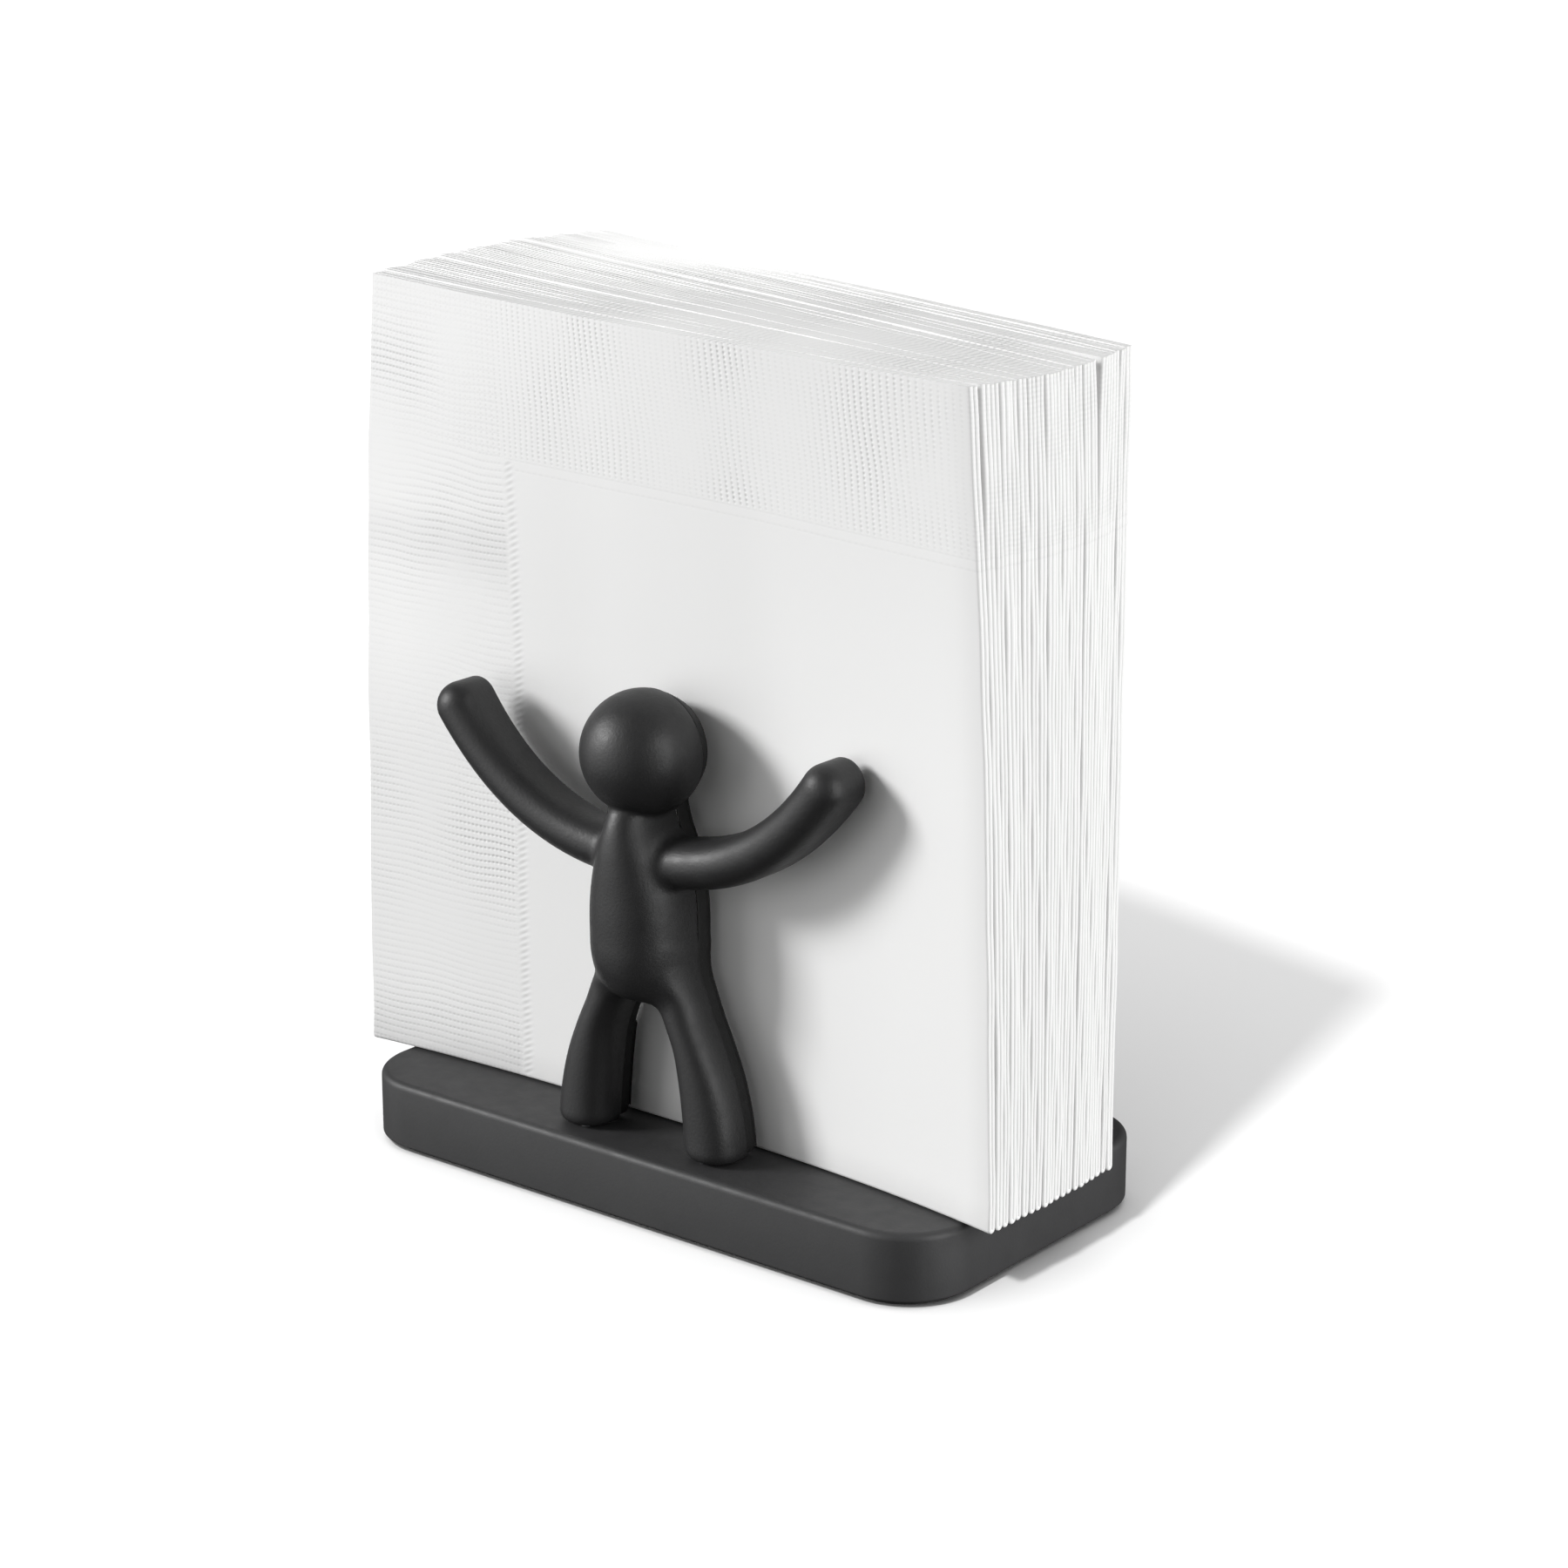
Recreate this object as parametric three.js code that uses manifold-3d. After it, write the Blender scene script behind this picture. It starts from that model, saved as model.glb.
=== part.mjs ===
// Table napkin dispenser: a weighted base carries two raised-arm figures, back to back,
// and a refill of folded paper napkins stands in the bay between them.
// Millimetres, +Z up, +X along the base, -Y towards the front figure.
// The origin is the centre of the foot pad's underside, on the table.

import * as THREE from "three";
import { mergeVertices } from "three/addons/utils/BufferGeometryUtils.js";
import Module from "manifold-3d";

const wasm = await Module();
wasm.setup();

const GAP = 0.3; // clearance between pieces that touch

// Base
const BASE_LENGTH = 150;
const BASE_DEPTH = 80;
const BASE_TOP = 15.6;
const BASE_CORNER = 15;
const BASE_EDGE = 1.5;
const BASE_WALL = 2.5;
const RIM_HEIGHT = 1.5; // the shell's rim stays this far off the table
const PAD_THICKNESS = 1.5;
const COVER_THICKNESS = 1.8;
const PLATE_LENGTH = 112;
const PLATE_WIDTH = 38;
const PLATE_THICKNESS = 6;
const PLATE_CORNER = 4;
const PLATE_STUD_X = 35;
const PLATE_STUD_RADIUS = 3;
const COVER_SCREW_X = 58;
const COVER_SCREW_Y = 28;
const BOSS_RADIUS = 3.6;

// Figure: distances from the base's centre; it faces -Y
const FIGURE_BACK = 24; // flat back, half of the bay's depth
const BACK_DEPTH = 3.5; // thickness of the flat back piece
const MOULDING_WALL = 2.4;
const HEAD_RADIUS = 12.6;
const HEAD_Y = -31.6;
const HEAD_Z = 97.4;
// Half width, depth in front of the parting plane, height: from the crotch up into the head
const BODY_PROFILE = [
  [0, 0, 44.6],
  [5.2, 7.6, 46.2],
  [8.6, 12.4, 50.4],
  [9.9, 14.5, 56],
  [10.4, 15, 63],
  [9.7, 14.9, 71],
  [8.1, 14.7, 77],
  [5.2, 14.2, 82],
  [3.6, 13.2, 86],
  [0, 0, 92],
];
const LEG_DEPTH_FACTOR = 1.4; // legs are deeper than they are wide
const HIP = [8.2, 53]; // x, z
const FOOT = [16.9, 18.6];
const HIP_RADIUS = 3.4;
const THIGH_RADIUS = 5.2;
const THIGH_SHARE = 0.4; // of the way from hip to foot
const FOOT_RADIUS = 6;
const SHOULDER = [6, 76];
const ARM_BEND = [31, 77.3];
const HAND = [46.8, 99.1];
const ARM_RADIUS = 4.9; // half the arm's width
const ARM_STRAIGHT = 4.7; // its sides run straight this far forwards from the parting plane
const ARM_ROUND = 5; // depth of its rounded front
const FOOT_SCREW_X = 15.6;
const FOOT_SCREW_Y = -32.5;
const FOOT_SCREW_DEPTH = 11;
const PEG_HEIGHTS = [62, HEAD_Z];
const PEG_RADIUS = 1.4;
const PEG_LENGTH = 5;

// Screws
const SHANK_RADIUS = 1.25;
const PAN_HEAD_RADIUS = 2.8;
const PAN_HEAD_HEIGHT = 2.1;
const CSK_HEAD_RADIUS = 2.5;
const COVER_SCREW_LENGTH = 9;

// Refill: square napkins, folded edge to the right and at the bottom
const NAPKIN_COUNT = 20;
const NAPKIN_SIZE = 165;
const STACK_RIGHT = 81.3;
const STACK_FOOT = BASE_TOP + GAP;
const STACK_COLUMNS = [-83.7, -54, -27, 0, 27, 54, STACK_RIGHT];
const STACK_ROWS = [0, 45, 89, 115, 141, NAPKIN_SIZE]; // heights over the base
const FRONT_GRIP = 24; // half width over which a figure keeps the stack flat
const REAR_GRIP = 54; // at the rear the hands hold it too
const GRIP_HEIGHT = 104; // up to the top of the hands

const black = { color: 0x1b1b1c, roughness: 0.5, metalness: 0 };
const darkGrey = { color: 0x3c3c3d, roughness: 0.6, metalness: 0 };
const rubber = { color: 0x161616, roughness: 0.9, metalness: 0 };
const steel = { color: 0x9a9da0, roughness: 0.4, metalness: 0.9 };
const paper = { color: 0xf1f1f0, roughness: 0.95, metalness: 0 };

// ---------- solids ----------

function toSolid(geometry) {
  const bare = geometry.clone();
  bare.deleteAttribute("normal");
  if (bare.attributes.uv) bare.deleteAttribute("uv");
  const merged = mergeVertices(bare);
  const index = merged.index.array;
  const triangles = [];
  for (let i = 0; i < index.length; i += 3) {
    const [a, b, c] = index.subarray(i, i + 3);
    if (a !== b && b !== c && c !== a) triangles.push(a, b, c);
  }
  const vertProperties = new Float32Array(merged.attributes.position.array);
  const triVerts = new Uint32Array(triangles);
  return new wasm.Manifold(new wasm.Mesh({ numProp: 3, vertProperties, triVerts }));
}

function toGeometry(solid) {
  const mesh = solid.getMesh();
  const geometry = new THREE.BufferGeometry();
  geometry.setAttribute("position", new THREE.BufferAttribute(mesh.vertProperties, 3));
  geometry.setIndex(new THREE.BufferAttribute(mesh.triVerts, 1));
  geometry.computeVertexNormals();
  return geometry;
}

function join(solids) {
  return solids.reduce((whole, piece) => whole.add(piece));
}

function cut(solid, tools) {
  return tools.reduce((rest, tool) => rest.subtract(tool), solid);
}

function named(name, shape, material) {
  const geometry = shape.isBufferGeometry ? shape : toGeometry(shape);
  const mesh = new THREE.Mesh(geometry, new THREE.MeshStandardMaterial(material));
  mesh.name = name;
  return mesh;
}

// ---------- basic shapes, all with +Z up ----------

function box(low, high) {
  const size = high.map((value, i) => value - low[i]);
  const middle = high.map((value, i) => (value + low[i]) / 2);
  return toSolid(new THREE.BoxGeometry(...size).translate(...middle));
}

function roundedOutline(length, depth, radius) {
  const x = length / 2 - radius;
  const y = depth / 2 - radius;
  const outline = new THREE.Shape();
  outline.absarc(x, y, radius, 0, Math.PI / 2);
  outline.absarc(-x, y, radius, Math.PI / 2, Math.PI);
  outline.absarc(-x, -y, radius, Math.PI, 1.5 * Math.PI);
  outline.absarc(x, -y, radius, 1.5 * Math.PI, 2 * Math.PI);
  return outline;
}

function roundedPlate(length, depth, radius, bottom, top) {
  const options = { depth: top - bottom, bevelEnabled: false, curveSegments: 4 };
  const plate = new THREE.ExtrudeGeometry(roundedOutline(length, depth, radius), options);
  return toSolid(plate.translate(0, 0, bottom));
}

function turned(profile, segments) {
  const points = profile.map(([radius, height]) => new THREE.Vector2(radius, height));
  return new THREE.LatheGeometry(points, segments).rotateX(Math.PI / 2);
}

function rod(x, y, radius, bottom, top) {
  const profile = [[0, bottom], [radius, bottom], [radius, top], [0, top]];
  return toSolid(turned(profile, 12).translate(x, y, 0));
}

function pegAlongY(z, radius, front, back) {
  const peg = new THREE.CylinderGeometry(radius, radius, back - front, 10);
  return toSolid(peg.translate(0, (front + back) / 2, z));
}

function ball(x, y, z, radius, rings) {
  return toSolid(new THREE.SphereGeometry(radius, 2 * rings, rings).translate(x, y, z));
}

// ---------- base ----------

function baseShell() {
  const rounded = new THREE.ExtrudeGeometry(roundedOutline(BASE_LENGTH, BASE_DEPTH, BASE_CORNER), {
    depth: BASE_TOP - BASE_EDGE,
    curveSegments: 4,
    bevelThickness: BASE_EDGE,
    bevelSize: BASE_EDGE,
    bevelOffset: -BASE_EDGE,
    bevelSegments: 3,
  });
  const rim = box([-BASE_LENGTH, -BASE_DEPTH, -BASE_EDGE - 1], [BASE_LENGTH, BASE_DEPTH, RIM_HEIGHT]);
  const roof = BASE_TOP - BASE_WALL;
  const inset = 2 * BASE_WALL;
  const hollow = roundedPlate(
    BASE_LENGTH - inset, BASE_DEPTH - inset, BASE_CORNER - BASE_WALL, 0, roof);
  const bossFoot = RIM_HEIGHT + GAP + COVER_THICKNESS + GAP;
  const bosses = [];
  const holes = [];
  for (const sideX of [-1, 1]) {
    bosses.push(rod(sideX * PLATE_STUD_X, 0, PLATE_STUD_RADIUS, bossFoot + 1, roof + 1));
    for (const sideY of [-1, 1]) {
      const x = sideX * COVER_SCREW_X;
      const y = sideY * COVER_SCREW_Y;
      bosses.push(rod(x, y, BOSS_RADIUS, bossFoot, roof + 1));
      holes.push(rod(x, y, SHANK_RADIUS + GAP, 0, roof - 1));
      holes.push(rod(sideX * FOOT_SCREW_X, sideY * FOOT_SCREW_Y, SHANK_RADIUS + GAP, 0, BASE_TOP + 1));
    }
  }
  const shell = cut(toSolid(rounded), [rim, hollow]);
  return cut(join([shell, ...bosses]), holes);
}

function bottomCover() {
  const bottom = RIM_HEIGHT + GAP;
  const inset = 2 * (BASE_WALL + GAP);
  const plate = roundedPlate(
    BASE_LENGTH - inset, BASE_DEPTH - inset, BASE_CORNER - BASE_WALL - GAP,
    bottom, bottom + COVER_THICKNESS);
  const holes = coverScrewPlaces().map(([x, y]) => {
    const seat = [
      [0, bottom - 1],
      [CSK_HEAD_RADIUS + GAP, bottom - 1],
      [CSK_HEAD_RADIUS + GAP, bottom],
      [SHANK_RADIUS + GAP, bottom + CSK_HEAD_RADIUS - SHANK_RADIUS],
      [SHANK_RADIUS + GAP, bottom + COVER_THICKNESS + 1],
      [0, bottom + COVER_THICKNESS + 1],
    ];
    return toSolid(turned(seat, 12).translate(x, y, 0));
  });
  return cut(plate, holes);
}

function weightPlate() {
  const bottom = RIM_HEIGHT + GAP + COVER_THICKNESS + GAP;
  const plate = roundedPlate(
    PLATE_LENGTH, PLATE_WIDTH, PLATE_CORNER, bottom, bottom + PLATE_THICKNESS);
  const holes = [-1, 1].map((side) =>
    rod(side * PLATE_STUD_X, 0, PLATE_STUD_RADIUS + GAP, 0, BASE_TOP));
  return cut(plate, holes);
}

function footPad() {
  const inset = 2 * (BASE_WALL + GAP);
  return roundedPlate(
    BASE_LENGTH - inset, BASE_DEPTH - inset, BASE_CORNER - BASE_WALL - GAP, 0, PAD_THICKNESS);
}

// ---------- screws ----------

function coverScrewPlaces() {
  const places = [];
  for (const x of [-COVER_SCREW_X, COVER_SCREW_X]) {
    for (const y of [-COVER_SCREW_Y, COVER_SCREW_Y]) places.push([x, y]);
  }
  return places;
}

function countersunkScrew() {
  const seat = RIM_HEIGHT + GAP;
  return turned([
    [0, seat],
    [CSK_HEAD_RADIUS, seat],
    [SHANK_RADIUS, seat + CSK_HEAD_RADIUS - SHANK_RADIUS],
    [SHANK_RADIUS, seat + COVER_SCREW_LENGTH - 1],
    [0, seat + COVER_SCREW_LENGTH],
  ], 12);
}

function panHeadScrew() {
  const head = BASE_TOP - BASE_WALL - GAP;
  const tip = BASE_TOP + FOOT_SCREW_DEPTH - GAP;
  return turned([
    [0, head - PAN_HEAD_HEIGHT],
    [PAN_HEAD_RADIUS - 0.8, head - PAN_HEAD_HEIGHT],
    [PAN_HEAD_RADIUS, head - PAN_HEAD_HEIGHT + 0.8],
    [PAN_HEAD_RADIUS, head],
    [SHANK_RADIUS, head],
    [SHANK_RADIUS, tip - 1],
    [0, tip],
  ], 12);
}

// ---------- figure ----------

const PARTING = -FIGURE_BACK - BACK_DEPTH - GAP; // the moulding's rear edge
const BACK_FRONT = -FIGURE_BACK - BACK_DEPTH; // the back piece's front face

// A round-ended tapered limb, deeper than it is wide, about the parting plane.
function leg(side) {
  const hip = new THREE.Vector3(side * HIP[0], 0, HIP[1]);
  const foot = new THREE.Vector3(side * FOOT[0], 0, FOOT[1]);
  const axis = new THREE.Vector3().subVectors(foot, hip);
  const length = axis.length();
  const profile = [[0, -HIP_RADIUS]];
  const steps = 3;
  for (let i = 1; i <= steps; i++) {
    const turn = (i / steps) * (Math.PI / 2);
    profile.push([HIP_RADIUS * Math.sin(turn), -HIP_RADIUS * Math.cos(turn)]);
  }
  profile.push([THIGH_RADIUS, THIGH_SHARE * length]);
  for (let i = 0; i < steps; i++) {
    const turn = (i / steps) * (Math.PI / 2);
    profile.push([FOOT_RADIUS * Math.cos(turn), length + FOOT_RADIUS * Math.sin(turn)]);
  }
  profile.push([0, length + FOOT_RADIUS]);
  const along = new THREE.Quaternion();
  along.setFromUnitVectors(new THREE.Vector3(0, 0, 1), axis.normalize());
  const placed = new THREE.Matrix4().compose(hip, along, new THREE.Vector3(1, 1, 1));
  const limb = turned(profile, 14).applyMatrix4(placed).scale(1, LEG_DEPTH_FACTOR, 1);
  return toSolid(limb.translate(0, PARTING, 0));
}

// [depth, half width] pairs round the arm's front, from its straight side to its middle.
function armFront() {
  const steps = 4;
  const front = [];
  for (let i = 0; i <= steps; i++) {
    const turn = (i / steps) * (Math.PI / 2);
    front.push([ARM_STRAIGHT + ARM_ROUND * Math.sin(turn), ARM_RADIUS * Math.cos(turn)]);
  }
  return front;
}

// A D-shaped bar, flat towards the parting plane, that ends in a round hand.
function arm(side) {
  const behind = -1;
  const points = [SHOULDER, ARM_BEND, HAND].map(([x, z]) => new THREE.Vector3(side * x, PARTING, z));
  const front = armFront();
  const otherSide = front.slice(0, -1).reverse().map(([depth, width]) => [depth, -width]);
  const outline = [[behind, ARM_RADIUS], ...front, ...otherSide, [behind, -ARM_RADIUS]];
  const section = new THREE.Shape(outline.map(([depth, width]) => new THREE.Vector2(depth, width)));
  const bar = new THREE.ExtrudeGeometry(section, {
    extrudePath: new THREE.QuadraticBezierCurve3(...points),
    steps: 8,
    bevelEnabled: false,
  });
  const round = front.slice(0, -1).map(([depth, width]) => [width, depth]);
  const profile = [[0, behind], [ARM_RADIUS, behind], ...round, [0, ARM_STRAIGHT + ARM_ROUND]];
  const hand = turned(profile, 16).rotateX(Math.PI / 2).translate(side * HAND[0], PARTING, HAND[1]);
  return join([toSolid(bar), toSolid(hand)]);
}

// The trunk without its legs: a turned form, each ring of which is drawn out to its depth.
function torso(thinner, segments) {
  const profile = BODY_PROFILE.map(([width, , height]) => [Math.max(0, width - thinner), height]);
  const form = turned(profile, segments);
  const places = form.attributes.position;
  for (let i = 0; i < places.count; i++) {
    const [width, depth] = BODY_PROFILE[i % BODY_PROFILE.length];
    if (width > 0) places.setY(i, places.getY(i) * depth / width);
  }
  return toSolid(form.translate(0, PARTING, 0));
}

function trunk() {
  const floor = box([-100, -100, 0], [100, 100, BASE_TOP + GAP]);
  return join([torso(0, 20), leg(-1), leg(1)]).subtract(floor);
}

// The front moulding: rounded in front of the parting plane, with solid arms and legs and
// a head and trunk that are hollow from behind.
function figureShell() {
  const behind = box([-100, PARTING, 0], [100, 100, 200]);
  const head = ball(0, HEAD_Y, HEAD_Z, HEAD_RADIUS, 10);
  const form = join([trunk(), head, arm(-1), arm(1)]).subtract(behind);
  const hollows = [
    torso(MOULDING_WALL, 14),
    ball(0, HEAD_Y, HEAD_Z, HEAD_RADIUS - MOULDING_WALL, 7),
  ];
  const bosses = PEG_HEIGHTS.map((z) => pegAlongY(z, PEG_RADIUS + 2, -50, PARTING).intersect(form));
  const sockets = PEG_HEIGHTS.map((z) =>
    pegAlongY(z, PEG_RADIUS + GAP, PARTING - PEG_LENGTH - GAP, PARTING + 1));
  const screwHoles = [-1, 1].map((side) =>
    rod(side * FOOT_SCREW_X, FOOT_SCREW_Y, SHANK_RADIUS + GAP, 0, BASE_TOP + FOOT_SCREW_DEPTH));
  return cut(join([cut(form, hollows), ...bosses]), [...sockets, ...screwHoles]);
}

// The flat back piece: the trunk's outline at the parting plane drawn out straight and a
// round head cap, with pegs that plug into the moulding.
function figureBack() {
  const sliver = 0.2;
  const slice = trunk().intersect(box([-100, PARTING - sliver, 0], [100, PARTING, 200]));
  const drawn = toGeometry(slice).translate(0, -PARTING, 0);
  drawn.scale(1, BACK_DEPTH / sliver, 1).translate(0, -FIGURE_BACK, 0);
  const between = box([-100, BACK_FRONT, 0], [100, -FIGURE_BACK, 200]);
  const headCap = ball(0, HEAD_Y, HEAD_Z, HEAD_RADIUS, 10).intersect(between);
  const pegs = PEG_HEIGHTS.map((z) =>
    pegAlongY(z, PEG_RADIUS, BACK_FRONT - PEG_LENGTH, BACK_FRONT + 1));
  return join([toSolid(drawn), headCap, ...pegs]);
}

function figure(name, turn) {
  const group = new THREE.Group();
  group.add(named(`${name}_figure_shell`, figureShell(), black));
  group.add(named(`${name}_figure_back`, figureBack(), black));
  for (const side of [-1, 1]) {
    const screw = named(`${name}_foot_screw_${side < 0 ? "left" : "right"}`, panHeadScrew(), steel);
    screw.position.set(side * FOOT_SCREW_X, FOOT_SCREW_Y, 0);
    group.add(screw);
  }
  group.rotation.z = turn;
  return group;
}

// ---------- refill ----------

function mix(a, b, t) {
  return a + (b - a) * t;
}

// How far the stack's lean has developed at a place: none where a figure holds it.
function leaning(x, height, grip) {
  const free = Math.min(1, Math.max(0, Math.abs(x) - grip) / (78 - grip));
  const rise = Math.max(0, height) / NAPKIN_SIZE;
  const aboveGrip = STACK_FOOT + height - GRIP_HEIGHT;
  const gripped = Math.max(0, aboveGrip) / (STACK_FOOT + NAPKIN_SIZE - GRIP_HEIGHT);
  return mix(gripped ** 1.3, rise ** 1.6, free);
}

function stackFront(x, height) {
  const bowed = -21 - 6.4 * (Math.abs(x + 12) / 92) ** 2.6;
  const top = -31 - 0.125 * x + 3 * (x / 82) ** 2;
  return mix(bowed, top, leaning(x, height, FRONT_GRIP));
}

function stackBack(x, height) {
  const right = -9 * (Math.max(0, x) / 81) ** 1.5;
  const left = 3.4 * Math.max(0, -x - REAR_GRIP) / 30;
  const top = 35.2 - 0.262 * x;
  return mix(23.5 + right + left, top, leaning(x, height, REAR_GRIP));
}

// A curved slab from a grid of points; place() gives the front (0) and back (1) of each.
// Both faces are split along the same diagonals, so that slabs nest face to face.
function curvedSlab(columns, rows, place) {
  const at = (column, row, side) => (side * (rows + 1) + row) * (columns + 1) + column;
  const positions = new Float32Array(6 * (columns + 1) * (rows + 1));
  const triangles = [];
  const quad = (a, b, c, d) => triangles.push(a, b, c, a, c, d);
  for (let column = 0; column <= columns; column++) {
    for (let row = 0; row <= rows; row++) {
      for (const side of [0, 1]) positions.set(place(column, row, side), 3 * at(column, row, side));
    }
  }
  for (let column = 0; column < columns; column++) {
    const next = column + 1;
    for (let row = 0; row < rows; row++) {
      const corners = [[column, row], [next, row], [next, row + 1], [column, row + 1]];
      quad(...corners.map(([c, r]) => at(c, r, 0)));
      const [a, b, c, d] = corners.map(([x, y]) => at(x, y, 1));
      triangles.push(a, c, b, a, d, c);
    }
    quad(at(column, 0, 0), at(column, 0, 1), at(next, 0, 1), at(next, 0, 0));
    quad(at(column, rows, 0), at(next, rows, 0), at(next, rows, 1), at(column, rows, 1));
  }
  for (let row = 0; row < rows; row++) {
    const up = row + 1;
    quad(at(0, row, 0), at(0, up, 0), at(0, up, 1), at(0, row, 1));
    quad(at(columns, row, 0), at(columns, row, 1), at(columns, up, 1), at(columns, up, 0));
  }
  const geometry = new THREE.BufferGeometry();
  geometry.setAttribute("position", new THREE.BufferAttribute(positions, 3));
  geometry.setIndex(triangles);
  return geometry;
}

// A folded napkin fills its share of the fanned stack.
function napkin(number) {
  const place = number / (NAPKIN_COUNT - 1);
  const tilt = 0.012 * Math.sin(Math.PI * place);
  const slip = 0.9 * Math.sin(Math.PI * place) + 0.2 * Math.sin(7.3 * number);
  const lift = 0.4 * Math.abs(Math.sin(5.1 * number));
  const point = (column, row, side) => {
    const x = STACK_COLUMNS[column];
    const height = STACK_ROWS[row];
    const share = (number + side) / NAPKIN_COUNT;
    const face = mix(stackFront(x, height), stackBack(x, height), share);
    return [
      x + slip + height * tilt,
      face + (side === 0 ? GAP / 2 : -GAP / 2),
      STACK_FOOT + lift + height + (STACK_RIGHT - x) * tilt,
    ];
  };
  return curvedSlab(STACK_COLUMNS.length - 1, STACK_ROWS.length - 1, point);
}

// ---------- the dispenser ----------

const dispenser = new THREE.Group();
dispenser.add(named("base_shell", baseShell(), darkGrey));
dispenser.add(named("weight_plate", weightPlate(), steel));
dispenser.add(named("bottom_cover", bottomCover(), black));
dispenser.add(named("foot_pad", footPad(), rubber));
coverScrewPlaces().forEach(([x, y], number) => {
  const screw = named(`cover_screw_${number + 1}`, countersunkScrew(), steel);
  screw.position.set(x, y, 0);
  dispenser.add(screw);
});
dispenser.add(figure("front", 0));
dispenser.add(figure("rear", Math.PI));
for (let number = 0; number < NAPKIN_COUNT; number++) {
  const name = `napkin_${String(number + 1).padStart(2, "0")}`;
  dispenser.add(named(name, napkin(number), paper));
}

export default dispenser;
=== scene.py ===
"""Table napkin dispenser: smooth figures and base over the CAD frame, and a refill of folded paper napkins.

Blender 4.5, metres, same frame as the CAD: +Z up, +X along the base, -Y towards the front figure.
Shapes are worked out in millimetres and scaled by MM when a mesh is made.
"""

import math

import bmesh
import bpy
import numpy as np
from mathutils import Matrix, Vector


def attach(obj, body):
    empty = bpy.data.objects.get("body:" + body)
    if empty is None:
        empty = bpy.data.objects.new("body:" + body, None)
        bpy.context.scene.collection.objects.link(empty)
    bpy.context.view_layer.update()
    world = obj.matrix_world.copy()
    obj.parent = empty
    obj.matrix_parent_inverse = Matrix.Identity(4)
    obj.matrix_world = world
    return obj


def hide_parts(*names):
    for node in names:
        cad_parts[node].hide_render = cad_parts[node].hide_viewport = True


MM = 0.001
TINY = 1e-6  # keeps a division or a root clear of 0

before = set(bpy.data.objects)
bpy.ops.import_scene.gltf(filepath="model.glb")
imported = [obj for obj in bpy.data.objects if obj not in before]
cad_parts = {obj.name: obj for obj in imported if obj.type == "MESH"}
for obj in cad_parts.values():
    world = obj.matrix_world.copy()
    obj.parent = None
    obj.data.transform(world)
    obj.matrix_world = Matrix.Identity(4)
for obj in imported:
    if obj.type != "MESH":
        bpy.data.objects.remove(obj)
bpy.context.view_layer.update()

# Base, mm
BASE_LENGTH = 150
BASE_DEPTH = 80
BASE_TOP = 15.6
BASE_CORNER = 15
BASE_EDGE = 1.5
BASE_WALL = 2.5
RIM_HEIGHT = 1.5
RIM_EDGE = 0.5
CORNER_STEPS = 24
EDGE_STEPS = 6

# Figure, mm: depths are measured forwards from the parting plane between its two pieces
PARTING = -27.8
BACK_FRONT = -27.5
FIGURE_BACK = -24
FOOT_BOTTOM = 15.9
HEAD = (3.8, 97.4)  # depth, height
HEAD_RADIUS = 12.6
BELLY_HEIGHT = 60  # below it the trunk rounds off to the crotch
BELLY_DROP = 13.9
BELLY_POWER = 2.4
TORSO = [  # height, half width, depth
    (BELLY_HEIGHT, 10.4, 14.9),
    (66, 10.3, 15.0),
    (71, 9.7, 14.9),
    (75.5, 8.6, 14.8),
    (79.7, 7.3, 14.5),
    (82, 6.3, 14.1),
    (85, 5.3, 13.2),
    (92, 4.4, 9.0),
]
TORSO_POWER = 2.2
TORSO_STRAIGHT = 3.4  # how far the sides run straight forwards before the front rounds off
LEG = [  # height, distance from the middle, half width
    (14, 16.9, 6.4),
    (24, 15.95, 6.2),
    (32, 14.45, 5.6),
    (38, 12.7, 4.9),
    (44, 10.1, 4.7),
    (50, 7.6, 4.7),
    (56, 4.2, 4.4),
]
LEG_TOP = 57
LEG_POWER = 2.2
LEG_STRAIGHT = 1.8
LEG_FRONT = 6.4  # depth of the rounded part
SHOULDER = (6, 76)
ARM_BEND = (31, 77.3)
HAND = (46.8, 99.1)
ARM_RADIUS = 4.8
HAND_RADIUS = 4.95
ARM_STRAIGHT = (4.0, 5.5)  # at the shoulder and at the hand
ARM_FRONT = 5.0
ARM_STEPS = 40
CROTCH_FILLET = 4.4
SOLE_ROUNDING = 2.6
ARM_FILLET = 2.4
NECK_FILLET = 0.7
BACK_INSET = 0.15
BACK_LEG_INSET = 0.9
BACK_NECK_FILLET = 0.5
MOULDING_EDGE = 0.3
BACK_FRONT_EDGE = 0.25
BACK_REAR_EDGE = 0.5
EDGE_ROWS = 3

# Fine surface of the figure, mm: the space it is looked for in, and how points settle onto it
FIGURE_LOW = 14
FIGURE_HIGH = 111
MOULDING_REACH = (55, 19)  # half width, depth
MOULDING_CELL = 0.8
MOULDING_SPARE = 2  # past the cut, which then removes it
BACK_REACH = 24
BACK_CELL = 0.7
BACK_SPARE = 1.2
PROBE = 0.02
LEAST_SLOPE = 0.05
LONGEST_MOVE = 0.6
MERGE_DISTANCE = 0.02
SETTLING_ROUNDS = 3
SMOOTHING_ROUNDS = 4

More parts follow.
